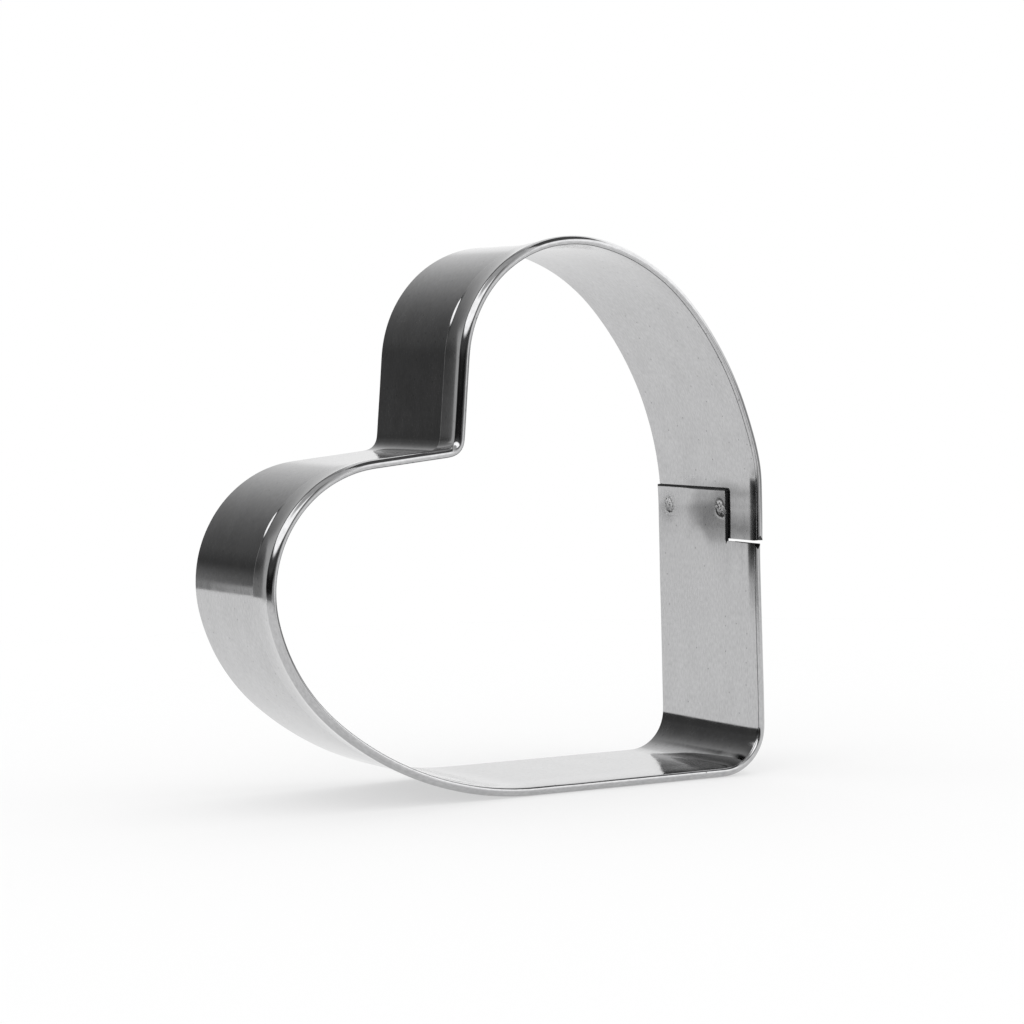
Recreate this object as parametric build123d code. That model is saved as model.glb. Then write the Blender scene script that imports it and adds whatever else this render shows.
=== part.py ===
from build123d import *
import math
import os

# A heart-shaped cookie cutter bent from one strip of thin stainless steel.
# The strip's long front edge is rolled outwards into a safe rim, its long back edge cuts.
# Its two ends lap on one flank, where two spot welds hold them.
# All lengths are in millimetres and all angles in degrees.

# Strip
strip_width = 22.0
sheet = 0.3

# Rolled rim, tight round the nose in front and wider where it comes back over the wall
nose_radius = 0.38
nose_turn = 110.0
bead_radius = 0.8
hem_width = 5.15
fold_gap = 0.04
closing_angle = 7.5
closing_radius = 4.0
hem_corner_radius = 0.6

# Heart, measured to the inner face of the strip
flank_length = 29.4
tip_radius = 4.6
flank_arc_radius = 36.3
flank_arc_turn = 41.7
shoulder_arc_radius = 21.2
shoulder_arc_turn = 34.6
crown_arc_radius = 13.3
crown_arc_turn = 98.3
cleft_radius = 1.8

# Lap of the strip's ends
lap_gap = 0.03
upper_end_run = 3.35
tongue_bend_run = 2.55
hem_end_gap = 0.5
notch_depth = 6.3
tongue_corner_radius = 0.5

# Spot welds
weld_diameter = 2.3
weld_drop = 2.5
weld_edge_inset = 2.5
weld_notch_inset = 1.35
weld_dish = 0.06

# Worked out from the sizes above
right_angle = 90.0
straight_angle = 180.0
half_tip_angle = right_angle / 2
nose_middle_radius = nose_radius - sheet / 2
bead_middle_radius = bead_radius - sheet / 2
back_turn = straight_angle - nose_turn
fold_step = sheet + fold_gap
lap_offset = sheet + lap_gap
lap_stack = sheet + lap_offset
lobe_turn = flank_arc_turn + shoulder_arc_turn + crown_arc_turn
upper_end_height = flank_length - upper_end_run
hem_start_height = upper_end_height - hem_end_gap
tongue_width = strip_width - notch_depth


def cleft_half_turn():
    """Turn of the strip from the run beside the cleft to the heart's centre line."""
    return half_tip_angle + lobe_turn - straight_angle


def cleft_run():
    """Straight run beside the cleft, which takes each lobe back to the heart's centre line."""
    headings = [half_tip_angle]
    for turn in (flank_arc_turn, shoulder_arc_turn, crown_arc_turn):
        headings.append(headings[-1] + turn)
    sines = [math.sin(math.radians(heading)) for heading in headings]
    reach = flank_length * math.cos(math.radians(half_tip_angle))
    reach += flank_arc_radius * (sines[1] - sines[0])
    reach += shoulder_arc_radius * (sines[2] - sines[1])
    reach += crown_arc_radius * (sines[3] - sines[2])
    half_turn = math.radians(cleft_half_turn())
    return (reach - cleft_radius * math.sin(half_turn)) / math.cos(half_turn)


def run_on(edge, length):
    """Straight line that carries on from the end of an edge."""
    return Line(edge @ 1, edge @ 1 + (edge % 1) * length)


def bend_on(edge, radius, turn):
    """Arc that carries on from the end of an edge, anticlockwise where the turn is positive."""
    return JernArc(edge @ 1, edge % 1, radius, turn)


def heart_path():
    """Inner face of the strip seen from the rim, clockwise from the lower hem's end to the upper end."""
    path = [Line((0, hem_start_height), (0, tip_radius))]
    path.append(bend_on(path[-1], tip_radius, -right_angle))
    path.append(run_on(path[-1], flank_length - tip_radius))
    path.append(bend_on(path[-1], flank_arc_radius, -flank_arc_turn))
    path.append(bend_on(path[-1], shoulder_arc_radius, -shoulder_arc_turn))
    path.append(bend_on(path[-1], crown_arc_radius, -crown_arc_turn))
    path.append(run_on(path[-1], cleft_run()))
    path.append(bend_on(path[-1], cleft_radius, 2 * cleft_half_turn()))
    path.append(run_on(path[-1], cleft_run()))
    rise_turn = lobe_turn - right_angle
    path.append(bend_on(path[-1], crown_arc_radius, -rise_turn))
    # The far side of this lobe stands out by the lap, so that its end passes outside the tongue
    path.append(run_on(path[-1], lap_offset))
    path.append(bend_on(path[-1], crown_arc_radius, rise_turn - crown_arc_turn))
    path.append(bend_on(path[-1], shoulder_arc_radius, -shoulder_arc_turn))
    path.append(bend_on(path[-1], flank_arc_radius, -flank_arc_turn))
    path.append(run_on(path[-1], upper_end_run))
    return path


def folded_face(side):
    """One face of the folded strip in section: side 1 ends up on the outside, side -1 inside the fold."""
    off = side * sheet / 2
    closing = math.radians(closing_angle)
    back = math.radians(back_turn)
    # The folded layer stands off the wall by the roll, and closes on it down a slope and a last bend
    stand_off = nose_middle_radius * (1 + math.cos(back))
    stand_off += bead_middle_radius * (math.cos(closing) - math.cos(back))
    closing_in = stand_off - fold_step
    slope_run = (closing_in - closing_radius * (1 - math.cos(closing))) / math.sin(closing)
    face = [Line((sheet / 2 - off, 0), (sheet / 2 - off, strip_width - nose_radius))]
    face.append(bend_on(face[-1], nose_middle_radius + off, -nose_turn))
    face.append(bend_on(face[-1], bead_middle_radius + off, -back_turn - closing_angle))
    face.append(run_on(face[-1], slope_run))
    face.append(bend_on(face[-1], closing_radius - off, closing_angle))
    flat_start = face[-1] @ 1
    face.append(Line(flat_start, (flat_start.X, strip_width - hem_width)))
    return face


def rim_section():
    """Section through the wall and its rolled rim, x outwards and y from the cutting edge to the rim."""
    outside = folded_face(1)
    inside = folded_face(-1)
    free_end = Line(outside[-1] @ 1, inside[-1] @ 1)
    cutting_end = Line(inside[0] @ 0, outside[0] @ 0)
    return make_face(outside + [free_end] + inside + [cutting_end])


def hemmed_strip():
    """The strip with its rolled rim, swept round the heart."""
    path = Wire(heart_path())
    start = Plane(origin=path @ 0, x_dir=(1, 0, 0), z_dir=path % 0)
    return sweep(start * rim_section(), path=path)


def tongue():
    """Plain end of the strip, notched clear of the rim, that lies inside the upper end."""
    flank = Line((0, hem_start_height), (0, flank_length))
    bend_radius = flank_arc_radius - lap_offset
    bend = bend_on(flank, bend_radius, math.degrees(tongue_bend_run / bend_radius))
    start = Plane(origin=flank @ 0, x_dir=(-1, 0, 0), z_dir=flank % 0)
    section = Pos(-sheet / 2, tongue_width / 2) * Rectangle(sheet, tongue_width)
    plain = sweep(start * section, path=Wire([flank, bend]))
    corner = plain.edges().filter_by(lambda edge: edge.length < 2 * sheet)
    top_corner = corner.sort_by(Axis.Y)[-2:].sort_by(Axis.Z)[-1]
    return fillet(top_corner, tongue_corner_radius)


def weld_places():
    """Height on the flank and distance from the cutting edge of each spot weld."""
    height = flank_length + tongue_bend_run - weld_drop
    return {
        "spot_weld_near_edge": (height, weld_edge_inset),
        "spot_weld_near_rim": (height, tongue_width - weld_notch_inset),
    }


def weld_plane(place):
    """Plane on the tongue's inner face at a spot weld, facing outwards."""
    height, inset = place
    return Plane(origin=(0, height, inset), x_dir=(0, 1, 0), z_dir=(1, 0, 0))


def weld_nugget(place):
    """Metal of one spot weld through both layers, dished on both faces by the electrodes."""
    radius = weld_diameter / 2
    outwards = (1, 0)
    inner = TangentArc((0, weld_dish), (radius, 0), tangent=outwards)
    outer = TangentArc((0, lap_stack - weld_dish), (radius, lap_stack), tangent=outwards)
    side = Line(inner @ 1, outer @ 1)
    middle = Line(outer @ 0, inner @ 0)
    nugget = revolve(Plane.XZ * make_face([inner, side, outer, middle]), Axis.Z)
    return weld_plane(place) * nugget


def weld_pocket(place):
    """Space of one spot weld through both layers."""
    return weld_plane(place) * Cylinder(weld_diameter / 2, 4 * lap_stack)


def hem_corner(end_height, side):
    """Metal that rounds off the rim's corner at one end of the hem: side 1 is above that end, side -1 below."""
    radius = hem_corner_radius
    square = Pos(end_height + side * radius / 2, strip_width - radius / 2) * Rectangle(radius, radius)
    rounded = Pos(end_height + side * radius, strip_width - radius) * Circle(radius)
    return extrude(Plane.YZ * (square - rounded), amount=2 * bead_radius + lap_offset, both=True)


def heart_band():
    """The whole strip: hemmed heart with its rounded ends, tongue and the two weld pockets."""
    band = hemmed_strip() + tongue()
    band -= hem_corner(hem_start_height, -1)
    band -= hem_corner(upper_end_height, 1)
    for place in weld_places().values():
        band -= weld_pocket(place)
    return band


def stand_up(shape, band):
    """Stands a shape on its flank, rim to the front, about the middle of the band's footprint."""
    upright = Rot(right_angle, 0, 0)
    box = (upright * band).bounding_box()
    middle = box.center()
    return Pos(-middle.X, -middle.Y, -box.min.Z) * upright * shape


def main():
    os.makedirs("parts", exist_ok=True)
    band = heart_band()
    pieces = {"heart_band": band}
    for name, place in weld_places().items():
        pieces[name] = weld_nugget(place)
    for name, piece in pieces.items():
        export_step(stand_up(piece, band), f"parts/{name}.step")


main()
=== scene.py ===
import math

import bpy
import numpy as np
from mathutils import Matrix, Vector


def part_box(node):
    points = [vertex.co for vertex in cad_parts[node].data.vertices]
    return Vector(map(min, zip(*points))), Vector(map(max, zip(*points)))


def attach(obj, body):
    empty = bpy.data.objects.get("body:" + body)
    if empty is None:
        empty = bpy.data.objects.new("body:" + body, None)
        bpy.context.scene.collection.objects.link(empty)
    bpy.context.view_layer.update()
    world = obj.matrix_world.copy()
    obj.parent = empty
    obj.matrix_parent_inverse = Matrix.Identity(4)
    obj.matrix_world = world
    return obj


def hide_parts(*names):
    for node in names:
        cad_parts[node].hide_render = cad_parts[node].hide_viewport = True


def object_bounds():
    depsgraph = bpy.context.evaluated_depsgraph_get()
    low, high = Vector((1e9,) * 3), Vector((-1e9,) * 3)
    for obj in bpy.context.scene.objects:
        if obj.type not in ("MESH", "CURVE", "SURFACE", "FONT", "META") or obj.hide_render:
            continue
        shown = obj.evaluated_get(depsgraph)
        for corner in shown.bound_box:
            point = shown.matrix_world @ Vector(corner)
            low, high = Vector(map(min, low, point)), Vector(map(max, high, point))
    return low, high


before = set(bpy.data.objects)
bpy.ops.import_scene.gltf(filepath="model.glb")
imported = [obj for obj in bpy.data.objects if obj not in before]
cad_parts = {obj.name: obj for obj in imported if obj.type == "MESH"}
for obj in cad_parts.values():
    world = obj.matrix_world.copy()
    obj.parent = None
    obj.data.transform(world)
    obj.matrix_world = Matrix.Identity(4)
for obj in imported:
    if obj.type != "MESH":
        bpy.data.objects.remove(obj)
cad_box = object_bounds()

MM = 0.001

# Strip and rolled rim
STRIP_WIDTH = 22.0 * MM
SHEET = 0.3 * MM
NOSE_RADIUS = 0.38 * MM
NOSE_TURN = math.radians(110.0)
BEAD_RADIUS = 0.8 * MM
ROLL_EASE = 0.03 * MM
HEM_WIDTH = 5.15 * MM
FOLD_GAP = 0.04 * MM
CLOSING_ANGLE = math.radians(9.5)
FREE_EDGE_ANGLE = math.radians(2.5)
EDGE_ROUNDING = 0.05 * MM
HEM_CORNER_RADIUS = 0.6 * MM

# Free edge of the fold, which springs up a little on each lobe: places are distances along the strip
FLARE_HEIGHT = 0.12 * MM
FLARE_RUN = 0.5 * MM
FLARE_PLACES = (103.2 * MM, 141.4 * MM)
FLARE_REACH = 3.2 * MM

# Unevenness of the sheet: the hollow behind the nose starts some of its runs before its deepest place
NOSE_HOLLOW = 0.028 * MM
NOSE_HOLLOW_RUN = 1.4 * MM
NOSE_HOLLOW_LEAD = 3
WAVE_HEIGHT = 0.003 * MM
WAVE_LENGTHS = (6.1 * MM, 9.7 * MM, 14.3 * MM)

# Heart, measured to the inner face of the strip
FLANK_LENGTH = 29.4 * MM
TIP_RADIUS = 4.6 * MM
FLANK_ARC_RADIUS = 36.3 * MM
FLANK_ARC_TURN = math.radians(41.7)
SHOULDER_ARC_RADIUS = 21.2 * MM
SHOULDER_ARC_TURN = math.radians(34.6)
CROWN_ARC_RADIUS = 13.3 * MM
CROWN_ARC_TURN = math.radians(98.3)
CLEFT_RADIUS = 1.8 * MM
BEND_BLEND = 0.45 * MM

# Lap of the strip's ends
LAP_GAP = 0.03 * MM
UPPER_END_RUN = 3.35 * MM
TONGUE_BEND_RUN = 2.55 * MM
HEM_END_GAP = 0.5 * MM
HEM_END_RISES = (0.24 * MM, 0.12 * MM)
NOTCH_DEPTH = 6.3 * MM
TONGUE_CORNER_RADIUS = 0.5 * MM
SHEAR_ROUNDING = 0.2 * MM

# The weld's clamp pressed the lap out of the flank's line: heights up the flank, and tilts outwards there.
# The press fades from the rim's side towards the cutting edge, and reaches least far above and below its
# widest height. Past the lap it eases back into the flank.
LAP_PRESS_HEIGHTS = np.array([8, 11, 21, 24, 25, 26, 27.5, 29.4, 30.5, 31.5, 32.5, 33.5, 35, 38, 42]) * MM
LAP_PRESS_TILTS = np.array([0, -9, -10, 3, 13, 20, 22, 12, 32, 58, 72, 46, 0, -35, 0]) * 0.001
LAP_PRESS_FADE = (1.4 * MM, 8.9 * MM)
LAP_PRESS_WIDEST = 31.2 * MM
LAP_PRESS_SLANT = 0.55
LAP_PRESS_LEAST_SHARE = 0.1
LAP_PRESS_RETURN = (33.5 * MM, 42 * MM)

# The clamp also deepened the nose's hollow and left a low ridge: heights where this starts, is full and ends
LAP_HOLLOW_HEIGHTS = (12 * MM, 26 * MM, 33 * MM, 37 * MM)
LAP_RIDGE = 0.012 * MM
LAP_RIDGE_PLACE = 19.6 * MM
LAP_RIDGE_WIDTH = 0.7 * MM

# Spot welds
WELD_DROP = 2.5 * MM
WELD_EDGE_INSET = 2.5 * MM
WELD_NOTCH_INSET = 1.35 * MM
WELD_EDGE_REACH = (0.75 * MM, 0.95 * MM)
WELD_NOTCH_REACH = (1.0 * MM, 0.95 * MM)
WELD_DISH = 0.03 * MM
WELD_RING_HEIGHT = 0.008 * MM
WELD_RING_SHARE = 0.16
WELD_LOBE_SHARES = (0.12, 0.07)
WELD_PROUD = 0.008 * MM
WELD_RAGGED_RATES = (1.7, 2.1)
WELD_RAGGEDNESS = 0.5
WELD_HEAT_REACH = 1.7 * MM

# Fineness of the mesh
PATH_STEP = 0.4 * MM
PATH_SAMPLE = 0.02 * MM
BLEND_REACHES = 4
BEND_STEP = math.radians(2.0)
WALL_STEP = 0.6 * MM
HEM_STEP = 0.22 * MM
END_STEP = 0.12 * MM
WELD_STEP = 0.14 * MM
WELD_RING_REACHES = 3
LAP_REACH = 7.0 * MM
ROLL_STEPS = 30
FOLD_STEPS = 40
CORNER_STEPS = 3
SHEAR_STEPS = 6
LEAST_START = 0.01
SHARP_ANGLE = math.radians(40)
PRESS_SAMPLES = 600
WELD_RINGS = 14
WELD_SPOKES = 56

# Camera, solved together with the heart's outline from the photograph
CAMERA_AZIMUTH = math.radians(-27.933)
CAMERA_ELEVATION = math.radians(3.239)
CAMERA_ROLL = math.radians(-1.392)
CAMERA_DISTANCE = 390.1 * MM
CAMERA_LENS = 120.2
CAMERA_SENSOR = 36.0
CAMERA_AIM_FROM_MIDDLE = Vector((3.24, -1.67, 0.12)) * MM

# Floor and light
FLOOR_SHADE = 0.9
FLOOR_FADE = (0.12, 0.28)
FLOOR_RINGS = 13
FLOOR_SPOKES = 72
FLOOR_SHADOW_SHARE = 0.5
SOFT_LIGHT = 1 / FLOOR_SHADE

# Studio set that the steel reflects: name, distance in metres, azimuths, heights, fades, shade.
# Azimuths run anticlockwise from +X and heights up from the horizon, in degrees about the cutter's middle.
# The fades are those of the two ends, the foot and the top, in degrees too.
STUDIO_CARDS = [
    ("horizon", 1.505, (116, 290), (-3.0, 0), (1.5, 20, 0.5, 0), 0.46),
    ("dark_room", 1.5, (44, 290), (-2.2, 90), (76, 40, 0.8, 0), 0.075),
    ("dark_back", 1.495, (99, 150), (-3, 12), (12, 20, 1.6, 8), 0.06),
    ("dark_ceiling", 1.49, (290, 412), (46, 90), (0, 0, 8, 0), 0.1),
    ("grey_ceiling", 1.48, (95, 290), (48, 90), (20, 30, 8, 0), 0.57),
    ("table_edge_back", 1.46, (44, 116), (-5.6, 6), (70, 1.5, 0, 8), 0.24),
    ("table_end_left", 1.45, (121.6, 290), (-7, -1.6), (1.5, 40, 2.5, 0.5), 0.1),
    ("front_floor", 1.447, (121, 292), (-42, -6), (8, 6, 22, 3), 0.42),
    ("dark_low", 1.445, (130, 275), (-9, -2), (20, 25, 2.5, 0.5), 0.12),
    ("dim_front", 1.44, (215, 295), (-14, 3), (25, 10, 6, 4), 0.45),
    ("dim_side", 1.435, (305, 395), (-6, 13), (15, 20, 4, 5), 0.42),
    ("front_light", 1.43, (286, 308), (-24, 42), (5, 8, 10, 8), 1.2),
    ("back_wall", 1.425, (48, 70), (-2, 22), (5, 5, 4, 6), 1.0),
    ("black_flag", 1.42, (70, 97), (30.3, 44), (8, 6, 0.8, 4), 0.0),
    ("black_side", 1.4, (125, 245), (-4, 12), (3, 12, 1.2, 6), 0.01),
    ("back_light", 1.39, (70, 104), (-7, 15), (16, 1.5, 2, 6), 0.5),
    ("soft_light_left", 1.2, (117, 256), (18.5, 56), (3, 14, 6, 12), 1.9),
    ("soft_light_right", 1.2, (285, 408), (12, 50), (10, 5, 10, 6), 1.7),
    ("soft_light_top", 1.2, (48, 80), (37, 62), (6, 6, 6, 6), 1.3),
]
CARD_STEP = 0.5

# Steel: colours and roughness, how much its grain, clouds and pits vary, and how finely along and across
STEEL = (0.475, 0.475, 0.48)
STEEL_ROUGHNESS = (0.07, 0.12)
GRAIN = (0.6 * MM, 0.26 * MM)
GRAIN_SHARE = 0.18
GRAIN_RANGE = (0.25, 0.75)
CLOUDS = (4.5 * MM, 2.8 * MM)
CLOUD_SHARE = 0.07
NOISE_RANGE = (0.3, 0.7)
PIT_SPACING = 2.2 * MM
PIT_CHOICE = (0.62, 0.66)
PIT_RADIUS_SHARES = (0.03, 0.055)
PIT_SHARE = 0.45
GRAIN_DEPTH = 0.00012 * MM
RIPPLES = (2.8 * MM, 1.5 * MM)
RIPPLE_DEPTH = 0.0008 * MM
SCORCH_SPECKLE = 0.14 * MM
SCORCH_RANGE = (0.4, 0.62)
SCORCH_TONE = 0.72
SCORCH_ROUGHNESS = 0.12
# Sheared edges: partly a dull cut edge, partly painted shade, near black for the shadow in the gaps along the
# lap's cut edges
SHEARED_STEEL_AND_GAP_SHADE = (0.03, 0.03, 0.031)
SHEARED_ROUGHNESS = 0.42
SHEAR_MARKS = (0.1 * MM, 0.6 * MM)
SHEAR_MARK_TONES = (0.6, 1.5)
WELD_DARK = (0.05, 0.05, 0.052)
WELD_LIGHT = (0.72, 0.72, 0.725)
WELD_ROUGHNESS = 0.34
WELD_SPECKLE = 0.3 * MM
WELD_SPECKLE_RANGE = (0.41, 0.48)
WELD_BUMP = 0.008 * MM

# Worked out from the sizes above
SQUARE = math.pi / 2
HALF_TIP_ANGLE = SQUARE / 2
NOSE_MIDDLE_RADIUS = NOSE_RADIUS - SHEET / 2
BEAD_MIDDLE_RADIUS = BEAD_RADIUS - SHEET / 2 - ROLL_EASE
RIM_RAISE = (SHEET + NOSE_MIDDLE_RADIUS * (1 - math.cos(NOSE_TURN))
             + (BEAD_MIDDLE_RADIUS + ROLL_EASE) * (1 + math.cos(NOSE_TURN)))
LAP_OFFSET = SHEET + LAP_GAP
LOBE_TURN = FLANK_ARC_TURN + SHOULDER_ARC_TURN + CROWN_ARC_TURN
UPPER_END_HEIGHT = FLANK_LENGTH - UPPER_END_RUN
HEM_START_HEIGHT = UPPER_END_HEIGHT - HEM_END_GAP
TONGUE_WIDTH = STRIP_WIDTH - NOTCH_DEPTH
TONGUE_LENGTH = FLANK_LENGTH + TONGUE_BEND_RUN - HEM_START_HEIGHT
LAP_STACK = SHEET + LAP_OFFSET
HEM_END_REACH = 2 * HEM_CORNER_RADIUS
WELD_HEIGHT = FLANK_LENGTH + TONGUE_BEND_RUN - WELD_DROP
WELDS = {
    "spot_weld_near_edge": (WELD_EDGE_INSET, *WELD_EDGE_REACH),
    "spot_weld_near_rim": (TONGUE_WIDTH - WELD_NOTCH_INSET, *WELD_NOTCH_REACH),
}
BAND_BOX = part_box("heart_band")
FLANK_X = BAND_BOX[1].x - RIM_RAISE - LAP_OFFSET
FLANK_Z = BAND_BOX[0].z + RIM_RAISE
EDGE_COLUMN = 1.5 * EDGE_ROUNDING
WELD_COLUMN_BOUNDS = (2 * EDGE_ROUNDING, TONGUE_WIDTH - 1.3 * SHEAR_ROUNDING)


def add_camera():
    """The photograph's camera: a long lens, low and to the left of the rim."""
    forward = Vector((-math.sin(CAMERA_AZIMUTH), math.cos(CAMERA_AZIMUTH), 0)) * math.cos(CAMERA_ELEVATION)
    forward.z = -math.sin(CAMERA_ELEVATION)
    level = Vector((math.cos(CAMERA_AZIMUTH), math.sin(CAMERA_AZIMUTH), 0))
    right = Matrix.Rotation(-CAMERA_ROLL, 3, forward) @ level
    up = right.cross(forward)
    middle = (cad_box[0] + cad_box[1]) / 2
    data = bpy.data.cameras.new("camera")
    data.lens = CAMERA_LENS
    data.sensor_width = CAMERA_SENSOR
    camera = bpy.data.objects.new("camera", data)
    turn = Matrix((right, up, -forward)).transposed().to_4x4()
    place = Matrix.Translation(middle + CAMERA_AIM_FROM_MIDDLE - forward * CAMERA_DISTANCE)
    camera.matrix_world = place @ turn
    bpy.context.scene.collection.objects.link(camera)
    bpy.context.scene.camera = camera


def cleft_run():
    """Straight run beside the cleft, which takes each lobe back to the heart's centre line."""
    headings = np.cumsum([HALF_TIP_ANGLE, FLANK_ARC_TURN, SHOULDER_ARC_TURN, CROWN_ARC_TURN])
    radii = np.array([FLANK_ARC_RADIUS, SHOULDER_ARC_RADIUS, CROWN_ARC_RADIUS])
    reach = FLANK_LENGTH * math.cos(HALF_TIP_ANGLE) + radii @ np.diff(np.sin(headings))
    half_turn = HALF_TIP_ANGLE + LOBE_TURN - math.pi
    return (reach - CLEFT_RADIUS * math.sin(half_turn)) / math.cos(half_turn)


def heart_stretches():
    """Length and turn of each stretch of the strip, clockwise from the lower hem's end to the upper end."""
    run = cleft_run()
    cleft_turn = 2 * (HALF_TIP_ANGLE + LOBE_TURN - math.pi)
    rise_turn = LOBE_TURN - SQUARE
    crown, shoulder, flank = CROWN_ARC_RADIUS, SHOULDER_ARC_RADIUS, FLANK_ARC_RADIUS
    return [
        (HEM_START_HEIGHT - TIP_RADIUS, 0),
        (TIP_RADIUS * SQUARE, -SQUARE),
        (FLANK_LENGTH - TIP_RADIUS, 0),
        (flank * FLANK_ARC_TURN, -FLANK_ARC_TURN),
        (shoulder * SHOULDER_ARC_TURN, -SHOULDER_ARC_TURN),
        (crown * CROWN_ARC_TURN, -CROWN_ARC_TURN),
        (run, 0),
        (CLEFT_RADIUS * cleft_turn, cleft_turn),
        (run, 0),
        (crown * rise_turn, -rise_turn),
        (LAP_OFFSET, 0),
        (crown * (CROWN_ARC_TURN - rise_turn), rise_turn - CROWN_ARC_TURN),
        (shoulder * SHOULDER_ARC_TURN, -SHOULDER_ARC_TURN),
        (flank * FLANK_ARC_TURN, -FLANK_ARC_TURN),
        (UPPER_END_RUN, 0),
    ]


def walk(bends, step):
    """Places and headings along a path that starts down the flank, from its bend per length."""
    headings = -SQUARE + np.concatenate([[0], np.cumsum(bends) * step])
    middles = (headings[1:] + headings[:-1]) / 2
    moves = np.column_stack([np.cos(middles), np.sin(middles)]) * step
    places = np.concatenate([[[0, HEM_START_HEIGHT]], [0, HEM_START_HEIGHT] + np.cumsum(moves, axis=0)])
    return places, headings


def eased(values, start, end):
    """Share from 0 at a start to 1 at an end, level at both."""
    share = np.clip((values - start) / (end - start), 0, 1)
    return share * share * (3 - 2 * share)


def heart_line():
    """Distances, places and headings along the strip's inner face, each bend blended into the next."""
    stretches = heart_stretches()
    lengths = np.array([length for length, turn in stretches])
    rates = np.array([turn / length for length, turn in stretches])
    ends = np.cumsum(lengths)
    count = int(round(ends[-1] / PATH_SAMPLE))
    step = ends[-1] / count
    # Each sample holds its exact share of the turn, so that the sharp and the blended path both close
    turns = np.interp(np.arange(count + 1) * step, np.concatenate([[0], ends]),
                      np.concatenate([[0], np.cumsum(lengths * rates)]))
    bends = np.diff(turns) / step
    reach = int(BLEND_REACHES * BEND_BLEND / step)
    kernel = np.exp(-0.5 * (np.arange(-reach, reach + 1) * step / BEND_BLEND) ** 2)
    blended = np.convolve(bends, kernel / kernel.sum(), mode="same")
    sharp_places = walk(bends, step)[0]
    places, headings = walk(blended, step)
    # Blending shifts what follows each bend a little, which is taken back along the tip and the lobes
    distances = np.arange(count + 1) * step
    drift = places - sharp_places
    lower_flank_drift = drift[int((ends[1] + ends[2]) / 2 / step)]
    tip_share = eased(distances, ends[0], ends[1])[:, None]
    lobes_share = eased(distances, ends[2], ends[-2])[:, None]
    places = places - lower_flank_drift * tip_share - (drift[-1] - lower_flank_drift) * lobes_share
    density = np.maximum(1 / PATH_STEP, np.abs(blended) / BEND_STEP)
    from_end = np.minimum(distances, ends[-1] - distances)[:-1]
    density = np.maximum(density, (from_end < HEM_END_REACH) / END_STEP)
    density = np.maximum(density, (ends[-1] - distances[:-1] < LAP_REACH) / WELD_STEP)
    stations = np.concatenate([[0], np.cumsum(density) * step])
    wanted = np.linspace(0, stations[-1], int(math.ceil(stations[-1])) + 1)
    at = np.interp(wanted, stations, distances)
    line = np.column_stack([np.interp(at, distances, values) for values in (*places.T, headings)])
    return at, line[:, :2], line[:, 2]


def corner(centre, radius, start, end):
    """Points of a rounded corner between two angles, without its first point."""
    angles = np.linspace(start, end, CORNER_STEPS + 1)[1:]
    return np.column_stack([centre[0] + radius * np.cos(angles), centre[1] + radius * np.sin(angles)])


def wall_columns():
    """Distances from the cutting edge of the wall's columns of vertices, up to the notch and past it."""
    low = [np.linspace(EDGE_ROUNDING, TONGUE_WIDTH - SHEAR_ROUNDING, int(TONGUE_WIDTH / WALL_STEP))]
    low.append([EDGE_COLUMN])
    first, last = WELD_COLUMN_BOUNDS
    for inset, across, up in WELDS.values():
        reach = across * (1 + WELD_RING_REACHES * WELD_RING_SHARE)
        near = np.arange(inset - reach, inset + reach, WELD_STEP)
        low.append(near[(near > first) & (near < last)])
    shear_turns = np.linspace(0, SQUARE, SHEAR_STEPS + 1)[1:]
    low.append(TONGUE_WIDTH - SHEAR_ROUNDING * (1 - np.sin(shear_turns)))
    high = np.linspace(TONGUE_WIDTH, STRIP_WIDTH - NOSE_RADIUS, int(NOTCH_DEPTH / HEM_STEP))
    return np.sort(np.concatenate(low)), high[1:]


def flared(from_edge, along):
    """How far the folded layer's free edge springs up where the lobes bend the strip most."""
    rise = np.clip(1 - (from_edge - (STRIP_WIDTH - HEM_WIDTH)) / FLARE_RUN, 0, 1) ** 2
    near = [np.clip(1 - ((along - place) / FLARE_REACH) ** 2, 0, 1) ** 2 for place in FLARE_PLACES]
    return FLARE_HEIGHT * rise * np.maximum(*near)


def hem_end_rise(from_edge, from_end):
    """How far the lower end of the hem stands up into the gap, most beside the notch."""
    share = np.clip((from_edge - TONGUE_WIDTH) / NOTCH_DEPTH, 0, 1)
    rise = HEM_END_RISES[0] + (HEM_END_RISES[1] - HEM_END_RISES[0]) * share
    return rise * (from_edge > TONGUE_WIDTH) * np.clip(1 - from_end / HEM_END_REACH, 0, None)


def hollowed(from_edge, heights):
    """How far the inner wall is hollow behind the nose, deeper and with a low ridge beside the lap."""
    into = (from_edge - (STRIP_WIDTH - NOSE_RADIUS - NOSE_HOLLOW_RUN)) / NOSE_HOLLOW_RUN
    hollow = NOSE_HOLLOW * eased(into, -NOSE_HOLLOW_LEAD, 0) * (1 - np.clip(into, 0, 1) ** 2)
    low, full, past, end = LAP_HOLLOW_HEIGHTS
    clamped = eased(heights, low, full) * (1 - eased(heights, past, end))
    ridge = LAP_RIDGE * np.exp(-((from_edge - LAP_RIDGE_PLACE) / LAP_RIDGE_WIDTH) ** 2)
    return hollow * (1 + clamped) - ridge * clamped


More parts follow.
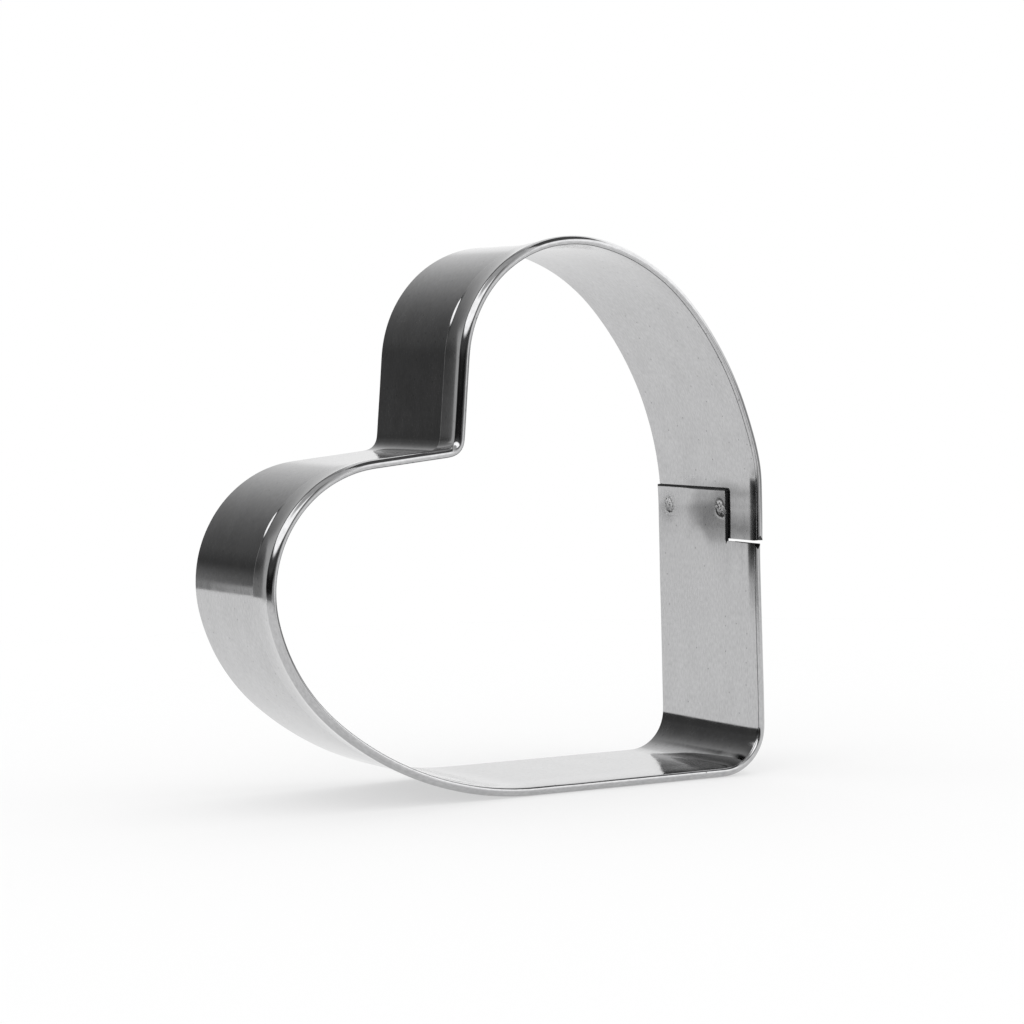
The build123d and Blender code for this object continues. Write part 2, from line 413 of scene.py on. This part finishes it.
def roll_line():
    """Middle of the sheet round the nose and the bead: places, and unit directions out of the roll."""
    turns = np.linspace(0, math.pi + CLOSING_ANGLE, ROLL_STEPS + 1)
    nose = np.minimum(turns, NOSE_TURN)
    bead = np.maximum(turns, NOSE_TURN)
    x = SHEET / 2 + NOSE_MIDDLE_RADIUS * (1 - np.cos(nose))
    x += BEAD_MIDDLE_RADIUS * (math.cos(NOSE_TURN) - np.cos(bead))
    y = STRIP_WIDTH - NOSE_RADIUS + NOSE_MIDDLE_RADIUS * np.sin(nose)
    y += BEAD_MIDDLE_RADIUS * (np.sin(bead) - math.sin(NOSE_TURN))
    return np.column_stack([x, y]), np.column_stack([-np.cos(turns), np.sin(turns)])


def fold_line(start):
    """Middle of the folded layer from the roll to its free edge: places, and angles off the wall."""
    drop = start[0] - (1.5 * SHEET + FOLD_GAP)
    reach = start[1] - (STRIP_WIDTH - HEM_WIDTH)
    stations, step = np.linspace(0, reach, FOLD_STEPS + 1, retstep=True)
    # The slope eases from the roll's end at the rate that brings it down onto the wall
    easing = (CLOSING_ANGLE - FREE_EDGE_ANGLE) / (drop / reach - FREE_EDGE_ANGLE) - 1
    angles = FREE_EDGE_ANGLE + (CLOSING_ANGLE - FREE_EDGE_ANGLE) * (1 - stations / reach) ** easing
    moves = -np.column_stack([np.tan((angles[1:] + angles[:-1]) / 2), np.ones(FOLD_STEPS)]) * step
    return np.concatenate([[start], start + np.cumsum(moves, axis=0)]), angles


def section_ring():
    """Closed outline of the folded strip, x outwards and y from the cutting edge.

    Returns it with the number of its inner wall's points up to the notch, and of all of them.
    """
    low, high = wall_columns()
    columns = np.concatenate([low, high])
    half = SHEET / 2
    roll, roll_away = roll_line()
    middle, angles = fold_line(roll[-1])
    outwards = np.column_stack([np.cos(angles), -np.sin(angles)])
    end, away = middle[-1], outwards[-1]
    along = np.array([-away[1], away[0]])
    inset = half - EDGE_ROUNDING
    end_angle = math.atan2(away[1], away[0])
    inner_wall = np.column_stack([0 * columns, columns])
    outer_wall = np.column_stack([SHEET + 0 * columns, columns])
    rounding = EDGE_ROUNDING
    parts = [
        inner_wall,
        (roll + roll_away * half)[1:],
        (middle + outwards * half)[1:-1],
        [end + away * half + along * rounding],
        corner(end + away * inset + along * rounding, rounding, end_angle, end_angle - SQUARE),
        corner(end - away * inset + along * rounding, rounding, end_angle - SQUARE, end_angle - math.pi),
        (middle - outwards * half)[1:-1][::-1],
        (roll - roll_away * half)[1:][::-1],
        outer_wall[::-1],
        corner((SHEET - rounding, rounding), rounding, 0, -SQUARE),
        corner((rounding, rounding), rounding, -SQUARE, -math.pi)[:-1],
    ]
    return np.concatenate(parts), len(low), len(columns)


def on_band(places, headings, outwards, from_edge):
    """Points in the row frame, from places on the strip's inner line and places in its section there."""
    x = places[:, 0, None] - outwards * np.sin(headings)[:, None] + FLANK_X
    z = places[:, 1, None] + outwards * np.cos(headings)[:, None] + FLANK_Z
    y = BAND_BOX[1].y - from_edge + np.zeros_like(x)
    return np.stack([x, y, z], axis=-1)


def hem_corner_shift(from_edge, from_end):
    """How far the strip's points move back from an end of the hem, to round off the rim's corner there."""
    past = np.clip(from_edge - (STRIP_WIDTH - HEM_CORNER_RADIUS), 0, HEM_CORNER_RADIUS)
    cut = HEM_CORNER_RADIUS - np.sqrt(HEM_CORNER_RADIUS ** 2 - past ** 2)
    return cut * np.clip(1 - from_end / HEM_END_REACH, 0, None)


def lap_press(heights, from_edge):
    """How far the weld's clamp has pressed the lapped layers outwards, by height up the flank."""
    fine, step = np.linspace(LAP_PRESS_HEIGHTS[0], LAP_PRESS_HEIGHTS[-1], PRESS_SAMPLES, retstep=True)
    pushes = np.cumsum(np.interp(fine, LAP_PRESS_HEIGHTS, LAP_PRESS_TILTS)) * step
    pushes -= pushes[-1] * eased(fine, *LAP_PRESS_RETURN)
    slanted = from_edge - LAP_PRESS_SLANT * np.abs(heights - LAP_PRESS_WIDEST)
    share = LAP_PRESS_LEAST_SHARE + (1 - LAP_PRESS_LEAST_SHARE) * eased(slanted, *LAP_PRESS_FADE)
    return np.interp(heights, fine, pushes) * share


def waves(along, from_edge):
    """Slight unevenness that rolling and bending leave in the sheet."""
    height = 0
    for index, length in enumerate(WAVE_LENGTHS):
        phase = index + from_edge / WAVE_LENGTHS[index - 1] * 2
        height = height + np.sin(along / length * 2 * math.pi + phase)
    return WAVE_HEIGHT * height


def weld_outline(angle, inset):
    """Share by which a spot weld's mark reaches further or less far in each direction."""
    two_lobed, three_lobed = WELD_LOBE_SHARES
    return 1 + two_lobed * np.cos(2 * angle + inset / MM) + three_lobed * np.cos(3 * angle)


def weld_distances(heights, from_edge):
    """Distance from the middle of the nearest spot weld, as a share of its uneven reach."""
    shares = []
    for inset, across_reach, up_reach in WELDS.values():
        up, across = (heights - WELD_HEIGHT) / up_reach, (from_edge - inset) / across_reach
        shares.append(np.hypot(up, across) / weld_outline(np.arctan2(across, up), inset))
    return np.minimum(*shares)


def weld_heat(heights, from_edge):
    """Nearness to a spot weld, from 1 in its middle to 0 far away."""
    away = [np.hypot(heights - WELD_HEIGHT, from_edge - weld[0]) for weld in WELDS.values()]
    return np.exp(-(np.minimum(*away) / WELD_HEAT_REACH) ** 2)


def weld_mark(heights, from_edge):
    """How far the electrodes' marks stand proud of the sheet: a dish within a low ring."""
    share = weld_distances(heights, from_edge)
    dish = WELD_DISH * np.clip(1 - share ** 2, 0, 1)
    return WELD_RING_HEIGHT * np.exp(-((share - 1) / WELD_RING_SHARE) ** 2) - dish


def rounded_off(to_outline):
    """How far a face sinks at its sheared outline, where the die has drawn the edge round."""
    into = SHEAR_ROUNDING - np.clip(to_outline, 0, SHEAR_ROUNDING)
    return SHEAR_ROUNDING - np.sqrt(SHEAR_ROUNDING ** 2 - into ** 2)


def tongue_line():
    """Runs, places and headings up the tongue from the lower hem's end, straight and then bent."""
    radius = FLANK_ARC_RADIUS - LAP_OFFSET
    straight = FLANK_LENGTH - HEM_START_HEIGHT
    plain = np.linspace(0, TONGUE_LENGTH - TONGUE_CORNER_RADIUS, int(TONGUE_LENGTH / WELD_STEP))
    turns = np.linspace(0, SQUARE, 2 * CORNER_STEPS + 1)[1:]
    runs = [plain, TONGUE_LENGTH - TONGUE_CORNER_RADIUS * (1 - np.sin(turns[:-1]))]
    runs.append(TONGUE_LENGTH - SHEAR_ROUNDING * (1 - np.sin(turns)))
    runs = np.unique(np.concatenate(runs))
    bent = np.maximum(runs - straight, 0) / radius
    x = -radius * (1 - np.cos(bent))
    z = HEM_START_HEIGHT + np.minimum(runs, straight) + radius * np.sin(bent)
    return runs, np.column_stack([x, z]), -SQUARE + bent


def grid_faces(rows, columns, first, closed):
    """Faces between neighbouring rows of vertices, whose numbers start at first."""
    numbers = first + np.arange(rows * columns).reshape(rows, columns)
    beside = np.roll(numbers, -1, axis=1)
    if not closed:
        numbers, beside = numbers[:, :-1], beside[:, :-1]
    return np.stack([numbers[:-1], beside[:-1], beside[1:], numbers[1:]], axis=-1).reshape(-1, 4)


def hemmed_band(ring, across, wall_count, outer_wall):
    """The strip round the heart: its vertices by ring, and the places and weld nearness its steel follows."""
    at, places, headings = heart_line()
    length = at[-1]
    at = at[:, None]
    heights = np.where(at < length / 2, HEM_START_HEIGHT - at, UPPER_END_HEIGHT + length - at)
    from_edge = ring[:, 1] + np.zeros_like(heights)
    outwards = ring[:, 0] + lap_press(heights, from_edge) + waves(at, from_edge)
    outwards[:, :wall_count] -= hollowed(from_edge[:, :wall_count], heights)
    folded = slice(wall_count + ROLL_STEPS, outer_wall - ROLL_STEPS)
    outwards[:, folded] += flared(from_edge[:, folded], at)
    upper_end = at > length - LAP_REACH
    marks = weld_mark(heights, from_edge) * upper_end
    outwards[:, outer_wall:] += marks[:, outer_wall:]
    band = on_band(places, headings, outwards, from_edge)
    shift = hem_corner_shift(from_edge, at) - hem_corner_shift(from_edge, length - at)
    shift -= hem_end_rise(from_edge, at)
    along = np.stack([np.cos(headings), 0 * headings, np.sin(headings)], axis=-1)[:, None, :]
    band += shift[..., None] * along
    follows = np.stack([at + 0 * from_edge, across + 0 * from_edge], axis=-1)
    return band, follows, weld_heat(heights, from_edge) * upper_end


def notched_tongue(section, across, low_count):
    """The tongue: its runs, its vertices by ring, and the places and weld nearness its steel follows."""
    runs, places, headings = tongue_line()
    runs, places, headings = runs[1:, None], places[1:], headings[1:]
    from_edge = section[:, 1] + 0 * runs
    into_corner = np.clip(runs - (TONGUE_LENGTH - TONGUE_CORNER_RADIUS), 0, None)
    left = np.clip(TONGUE_CORNER_RADIUS ** 2 - into_corner ** 2, 0, None)
    drawn_in = TONGUE_CORNER_RADIUS - np.sqrt(left)
    to_side = TONGUE_WIDTH - from_edge
    from_edge = from_edge - drawn_in * np.clip((from_edge - TONGUE_WIDTH / 2) / (TONGUE_WIDTH / 2), 0, 1)
    heights = HEM_START_HEIGHT + runs
    outwards = section[:, 0] + lap_press(heights, from_edge) + waves(-runs, from_edge)
    started = np.clip(runs / (2 * SHEAR_ROUNDING), 0, 1)
    to_outline = np.minimum(to_side / np.maximum(started, LEAST_START), TONGUE_LENGTH - runs)
    inner = np.arange(len(section)) < low_count
    outwards += inner * (rounded_off(to_outline) - weld_mark(heights, from_edge))
    tongue = on_band(places, headings, outwards, from_edge)
    follows = np.stack([-runs + 0 * from_edge, across + 0 * from_edge], axis=-1)
    return runs, tongue, follows, weld_heat(heights, from_edge)


def strip_faces(band_rings, size, kept, low_count, outer_low, runs):
    """Faces of the strip and its tongue, with those at sheared edges last, and how many those are."""
    band_count, kept_count = band_rings * size, len(kept)
    column = np.arange(kept_count)
    band_faces = grid_faces(band_rings, size, 0, True)
    beside = np.roll(column, -1)
    first_ring = np.stack([kept[beside], kept, band_count + column, band_count + beside], axis=-1)
    tongue_faces = grid_faces(len(runs), kept_count, band_count, True)[:, ::-1]
    at_side = (column >= low_count - SHEAR_STEPS) & (column < low_count)
    at_end = (runs[:-1] > TONGUE_LENGTH - SHEAR_ROUNDING) & (column < low_count)
    at_outline = (at_side | at_end).ravel()
    plain = [band_faces, first_ring[~at_side], tongue_faces[~at_outline]]
    sheared = [first_ring[at_side], tongue_faces[at_outline]]
    tongue_count = len(runs) * kept_count
    upper_end = range(band_count - size, band_count)
    notch = reversed(range(low_count - 1, outer_low + 1))
    tongue_end = reversed(range(band_count + tongue_count - kept_count, band_count + tongue_count))
    caps = [tuple(upper_end), tuple(notch), tuple(tongue_end)]
    faces = [tuple(face) for group in plain + sheared for face in group.tolist()] + caps
    return faces, sum(len(group) for group in sheared) + len(caps)


def build_strip():
    """The hemmed strip round the heart with its notched tongue, as one closed mesh.

    Returns its vertices, its faces, how many of the last faces are sheared edges, and what its steel
    follows: places along and across the strip, and nearness to a weld.
    """
    ring, low_count, wall_count = section_ring()
    size = len(ring)
    outer_wall = size - 2 * CORNER_STEPS + 1 - wall_count
    outer_low = outer_wall + wall_count - low_count
    across = np.concatenate([[0], np.cumsum(np.hypot(*np.diff(ring, axis=0).T))])
    band, band_follows, band_heat = hemmed_band(ring, across, wall_count, outer_wall)
    # The tongue carries on from the part of the first ring that lies nearer the cutting edge than the notch
    kept = np.concatenate([np.arange(low_count), np.arange(outer_low, size)])
    runs, tongue, tongue_follows, tongue_heat = notched_tongue(ring[kept], across[kept], low_count)
    faces, sheared_count = strip_faces(len(band), size, kept, low_count, outer_low, runs)
    vertices = np.concatenate([band.reshape(-1, 3), tongue.reshape(-1, 3)])
    follows = np.concatenate([band_follows.reshape(-1, 2), tongue_follows.reshape(-1, 2)])
    heat = np.concatenate([band_heat.ravel(), tongue_heat.ravel()])
    return vertices, faces, sheared_count, follows, heat


def new_mesh(name, vertices, faces):
    """New smooth piece with its sharp edges marked."""
    mesh = bpy.data.meshes.new(name)
    mesh.from_pydata(np.asarray(vertices).tolist(), [], faces)
    mesh.validate()
    mesh.shade_smooth()
    mesh.set_sharp_from_angle(angle=SHARP_ANGLE)
    piece = bpy.data.objects.new(name, mesh)
    bpy.context.scene.collection.objects.link(piece)
    return piece


def point_values(piece, name, kind, values):
    """Values for a material to follow, one or one group at each vertex of a piece."""
    layer = piece.data.attributes.new(name, kind, "POINT")
    layer.data.foreach_set("vector" if kind == "FLOAT_VECTOR" else "value", np.ravel(values))


def new_material(name):
    """Empty node material with its output."""
    material = bpy.data.materials.new(name)
    material.use_nodes = True
    material.node_tree.nodes.clear()
    return material


def node(material, kind, inputs, **settings):
    """New node with its settings, and its inputs linked or set, by their names or places."""
    made = material.node_tree.nodes.new(kind)
    for setting, value in settings.items():
        setattr(made, setting, value)
    for place, value in inputs.items():
        if isinstance(value, bpy.types.NodeSocket):
            material.node_tree.links.new(value, made.inputs[place])
        else:
            made.inputs[place].default_value = value
    return made


def math_node(material, operation, first, second):
    """Result of one sum on two values."""
    return node(material, "ShaderNodeMath", {0: first, 1: second}, operation=operation).outputs[0]


def ranged(material, value, start, end, low, high):
    """Value taken evenly from one range to another, and kept within it."""
    inputs = {"Value": value, "From Min": start, "From Max": end, "To Min": low, "To Max": high}
    return node(material, "ShaderNodeMapRange", inputs).outputs["Result"]


def followed(material, name):
    """Node that reads the values a piece holds under a name."""
    return node(material, "ShaderNodeAttribute", {}, attribute_name=name)


def along_strip(material, lengths):
    """Place on the strip in steps of the given lengths along and across it."""
    place = followed(material, "strip_place").outputs["Vector"]
    steps = (1 / lengths[0], 1 / lengths[1], 0)
    return node(material, "ShaderNodeVectorMath", {0: place, 1: steps}, operation="MULTIPLY").outputs[0]


def strip_noise(material, lengths, detail):
    """Noise drawn out along the strip, between 0 and 1."""
    inputs = {"Vector": along_strip(material, lengths), "Scale": 1, "Detail": detail}
    return node(material, "ShaderNodeTexNoise", inputs, noise_dimensions="2D").outputs[0]


def pits(material):
    """1 in the sparse small pits and 0 on the sheet between them."""
    inputs = {"Vector": along_strip(material, (PIT_SPACING, PIT_SPACING)), "Scale": 1}
    cells = node(material, "ShaderNodeTexVoronoi", inputs, voronoi_dimensions="2D")
    chosen = ranged(material, cells.outputs["Color"], *PIT_CHOICE, 0, 1)
    near = ranged(material, cells.outputs["Distance"], *PIT_RADIUS_SHARES, 1, 0)
    return math_node(material, "MULTIPLY", chosen, near)


def finish_metal(material, colour, roughness, normal):
    """Metal shader on a material, with its colour, roughness and bump."""
    inputs = {"Base Color": colour, "Metallic": 1, "Roughness": roughness, "Normal": normal}
    shader = node(material, "ShaderNodeBsdfPrincipled", inputs)
    node(material, "ShaderNodeOutputMaterial", {"Surface": shader.outputs[0]})
    return material


def bumped(material, height, depth, under=None):
    """Surface direction with bumps of a depth, on top of another's where one is given."""
    inputs = {"Height": height, "Strength": 1, "Distance": depth}
    if under is not None:
        inputs["Normal"] = under
    return node(material, "ShaderNodeBump", inputs).outputs[0]


def toned(material, colour, tone):
    """Colour made lighter or darker by a tone."""
    return node(material, "ShaderNodeVectorMath", {0: colour, "Scale": tone}, operation="SCALE").outputs[0]


def stainless():
    """Bright rolled stainless steel: fine grain, soft clouds, a few pits, and dulled by the welds."""
    material = new_material("stainless")
    grain = strip_noise(material, GRAIN, 2)
    clouds = strip_noise(material, CLOUDS, 3)
    heat = followed(material, "weld_heat").outputs["Fac"]
    speckle = strip_noise(material, (SCORCH_SPECKLE, SCORCH_SPECKLE), 2)
    scorched = math_node(material, "MULTIPLY", heat, ranged(material, speckle, *SCORCH_RANGE, 0, 1))
    grain_tone = ranged(material, grain, *GRAIN_RANGE, 1 - GRAIN_SHARE / 2, 1 + GRAIN_SHARE / 2)
    cloud_tone = ranged(material, clouds, *NOISE_RANGE, -CLOUD_SHARE / 2, CLOUD_SHARE / 2)
    tone = math_node(material, "ADD", grain_tone, cloud_tone)
    tone = math_node(material, "MULTIPLY", tone, ranged(material, pits(material), 0, 1, 1, 1 - PIT_SHARE))
    tone = math_node(material, "MULTIPLY", tone, ranged(material, scorched, 0, 1, 1, SCORCH_TONE))
    roughness = ranged(material, clouds, *NOISE_RANGE, *STEEL_ROUGHNESS)
    dulled = ranged(material, scorched, 0, 1, 0, SCORCH_ROUGHNESS)
    roughness = math_node(material, "ADD", roughness, dulled)
    rippled = bumped(material, strip_noise(material, RIPPLES, 2), RIPPLE_DEPTH)
    normal = bumped(material, grain, GRAIN_DEPTH, rippled)
    return finish_metal(material, toned(material, STEEL, tone), roughness, normal)


def sheared_edge_gap_shade():
    """Dull edge that the shears left, with fine marks across it, darkened to near black as painted shade of
    the gaps along the lap's cut edges.
    """
    material = new_material("sheared_edge_gap_shade")
    marks = strip_noise(material, SHEAR_MARKS, 2)
    tone = ranged(material, marks, *NOISE_RANGE, *SHEAR_MARK_TONES)
    normal = bumped(material, marks, GRAIN_DEPTH)
    return finish_metal(material, toned(material, SHEARED_STEEL_AND_GAP_SHADE, tone), SHEARED_ROUGHNESS, normal)


def weld_metal():
    """Frosty metal of a spot weld's face, speckled light and dark."""
    material = new_material("weld_face")
    place = node(material, "ShaderNodeTexCoord", {}).outputs["Object"]
    inputs = {"Vector": place, "Scale": 1 / WELD_SPECKLE, "Detail": 3}
    speckle = node(material, "ShaderNodeTexNoise", inputs).outputs[0]
    share = ranged(material, speckle, *WELD_SPECKLE_RANGE, 0, 1)
    # The node keeps its two colours at places 6 and 7, and its mixed colour at 2
    inputs = {0: share, 6: (*WELD_DARK, 1), 7: (*WELD_LIGHT, 1)}
    colour = node(material, "ShaderNodeMix", inputs, data_type="RGBA").outputs[2]
    return finish_metal(material, colour, WELD_ROUGHNESS, bumped(material, speckle, WELD_BUMP))


def add_strip():
    """The hemmed strip, in place of its plain solid."""
    vertices, faces, sheared_count, follows, nearness = build_strip()
    piece = new_mesh("hemmed_strip", vertices, faces)
    piece.data.materials.append(stainless())
    piece.data.materials.append(sheared_edge_gap_shade())
    indices = np.zeros(len(faces), dtype=np.int32)
    # The sheared faces take the near-black steel, painted shade for the gaps along the lap's cut edges
    indices[-sheared_count:] = 1
    piece.data.polygons.foreach_set("material_index", indices)
    point_values(piece, "strip_place", "FLOAT_VECTOR", np.column_stack([follows, np.zeros(len(follows))]))
    point_values(piece, "weld_heat", "FLOAT", nearness)
    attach(piece, "root")
    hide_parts("heart_band")


def weld_vertices(inset, across_reach, up_reach):
    """Points of a spot weld's two marked faces, the inner face's first."""
    shares = np.linspace(0, 1 + WELD_RING_SHARE, WELD_RINGS + 1)[1:, None]
    angles = np.linspace(0, 2 * math.pi, WELD_SPOKES, endpoint=False)
    reach = shares * weld_outline(angles, inset)
    up = np.concatenate([[0], (up_reach * reach * np.cos(angles)).ravel()])
    across = np.concatenate([[0], (across_reach * reach * np.sin(angles)).ravel()])
    heights, from_edge = WELD_HEIGHT + up, inset + across
    # The metal shows where it stands proud of the sheet, out to an uneven edge
    up_rate, across_rate = WELD_RAGGED_RATES
    ragged = np.sin(up / WELD_SPECKLE * up_rate + inset / MM) * np.sin(across / WELD_SPECKLE * across_rate)
    proud = WELD_PROUD * (1 - weld_distances(heights, from_edge) ** 2 + WELD_RAGGEDNESS * ragged)
    mark = weld_mark(heights, from_edge) + proud
    bend = np.clip(heights - FLANK_LENGTH, 0, None) ** 2 / (2 * FLANK_ARC_RADIUS)
    press = lap_press(heights, from_edge) - bend
    x = np.concatenate([press - mark, press + LAP_STACK + mark]) + FLANK_X
    y = BAND_BOX[1].y - from_edge
    z = heights + FLANK_Z
    return np.column_stack([x, np.tile(y, 2), np.tile(z, 2)])


def weld_faces():
    """Faces of a spot weld's two marked faces and of the side between them."""
    count = 1 + WELD_RINGS * WELD_SPOKES
    middle = [(0, 1 + (i + 1) % WELD_SPOKES, 1 + i) for i in range(WELD_SPOKES)]
    rings = grid_faces(WELD_RINGS, WELD_SPOKES, 1, True)[:, ::-1]
    inner = middle + [tuple(face) for face in rings.tolist()]
    outer = [tuple(count + i for i in reversed(face)) for face in inner]
    rim = count - WELD_SPOKES + np.arange(WELD_SPOKES)
    beside = np.roll(rim, -1)
    side = np.stack([rim, beside, beside + count, rim + count], axis=-1)
    return inner + outer + [tuple(face) for face in side.tolist()]


def add_weld(name, metal):
    """Metal of one spot weld with its two marked faces, in place of its plain solid."""
    piece = new_mesh(name.replace("spot_weld", "weld_marks"), weld_vertices(*WELDS[name]), weld_faces())
    piece.data.materials.append(metal)
    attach(piece, "root")
    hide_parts(name)


def seen_share(tree):
    """1 for what the camera, reflections and glass see, and 0 for the light on other surfaces."""
    light_path = tree.nodes.new("ShaderNodeLightPath")
    share = light_path.outputs["Is Camera Ray"]
    for ray in ("Is Glossy Ray", "Is Transmission Ray"):
        either = tree.nodes.new("ShaderNodeMath")
        either.operation = "MAXIMUM"
        tree.links.new(share, either.inputs[0])
        tree.links.new(light_path.outputs[ray], either.inputs[1])
        share = either.outputs[0]
    return share


def add_world():
    """White round about for the camera and for reflections, and plain soft light on everything else."""
    world = bpy.data.worlds.new("studio")
    world.use_nodes = True
    nodes, links = world.node_tree.nodes, world.node_tree.links
    background = nodes["Background"]
    background.inputs["Color"].default_value = (1, 1, 1, 1)
    strength = nodes.new("ShaderNodeMapRange")
    strength.inputs["To Min"].default_value = SOFT_LIGHT
    strength.inputs["To Max"].default_value = 1
    links.new(seen_share(world.node_tree), strength.inputs["Value"])
    links.new(strength.outputs[0], background.inputs["Strength"])
    bpy.context.scene.world = world


def faded_material(name, shader):
    """Material that the mesh's cover value fades into what lies behind it; shader makes what shows."""
    material = new_material(name)
    cover = followed(material, "cover").outputs["Fac"]
    clear = node(material, "ShaderNodeBsdfTransparent", {}).outputs[0]
    mixed = node(material, "ShaderNodeMixShader", {0: cover, 1: clear, 2: shader(material)})
    node(material, "ShaderNodeOutputMaterial", {"Surface": mixed.outputs[0]})
    return material


def add_sheet(name, points, cover, material):
    """Stage sheet from a grid of points, with a cover value at each."""
    rows, columns = cover.shape
    piece = new_mesh(name, points.reshape(-1, 3), grid_faces(rows, columns, 0, False).tolist())
    point_values(piece, "cover", "FLOAT", cover)
    piece.data.materials.append(material)
    return piece


def add_card(name, distance, azimuths, heights, fades, shade):
    """Curved card round the cutter that only reflections see, each edge faded into what lies behind it."""
    up = np.linspace(*heights, int(math.ceil((heights[1] - heights[0]) / CARD_STEP)) + 1)
    about = np.linspace(*azimuths, int(math.ceil((azimuths[1] - azimuths[0]) / CARD_STEP)) + 1)
    cover = np.ones((len(up), len(about)))
    past_ends = (about - azimuths[0], azimuths[1] - about)
    past_foot_and_top = ((up - heights[0])[:, None], (heights[1] - up)[:, None])
    for past, fade in zip(past_ends + past_foot_and_top, fades):
        if fade:
            cover = cover * eased(past, 0, fade)
    up, about = np.radians(up)[:, None], np.radians(about)
    level = np.cos(up)
    points = np.stack([level * np.cos(about), level * np.sin(about), np.sin(up) + 0 * about], axis=-1)
    points = np.array((cad_box[0] + cad_box[1]) / 2) + distance * points

    def glow(material):
        return node(material, "ShaderNodeEmission", {"Color": (1, 1, 1, 1), "Strength": shade}).outputs[0]

    card = add_sheet(name, points, cover, faded_material(name, glow))
    card.visible_camera = card.visible_diffuse = card.visible_shadow = False
    card.visible_transmission = card.visible_volume_scatter = False


def add_floor():
    """Pale floor that keeps the cutter's shadow, softly to the eye, and fades into the white far away."""
    reach = np.concatenate([[0], np.linspace(*FLOOR_FADE, FLOOR_RINGS)])[:, None]
    about = np.linspace(0, 2 * math.pi, FLOOR_SPOKES + 1)
    level = cad_box[0].z + 0 * reach * about
    points = np.stack([reach * np.cos(about), reach * np.sin(about), level], axis=-1)
    cover = 1 - eased(reach, *FLOOR_FADE) + 0 * about

    def pale(material):
        shade = (FLOOR_SHADE, FLOOR_SHADE, FLOOR_SHADE, 1)
        lit = node(material, "ShaderNodeBsdfDiffuse", {"Color": shade}).outputs[0]
        white = node(material, "ShaderNodeEmission", {"Color": (1, 1, 1, 1), "Strength": 1}).outputs[0]
        share = math_node(material, "MULTIPLY", seen_share(material.node_tree), 1 - FLOOR_SHADOW_SHARE)
        return node(material, "ShaderNodeMixShader", {0: share, 1: lit, 2: white}).outputs[0]

    add_sheet("floor", points, cover, faded_material("pale_floor", pale))


bpy.context.scene.view_settings.view_transform = "Standard"
add_camera()
add_world()
add_floor()
for card in STUDIO_CARDS:
    add_card(*card)
add_strip()
weld_face = weld_metal()
for weld in WELDS:
    add_weld(weld, weld_face)
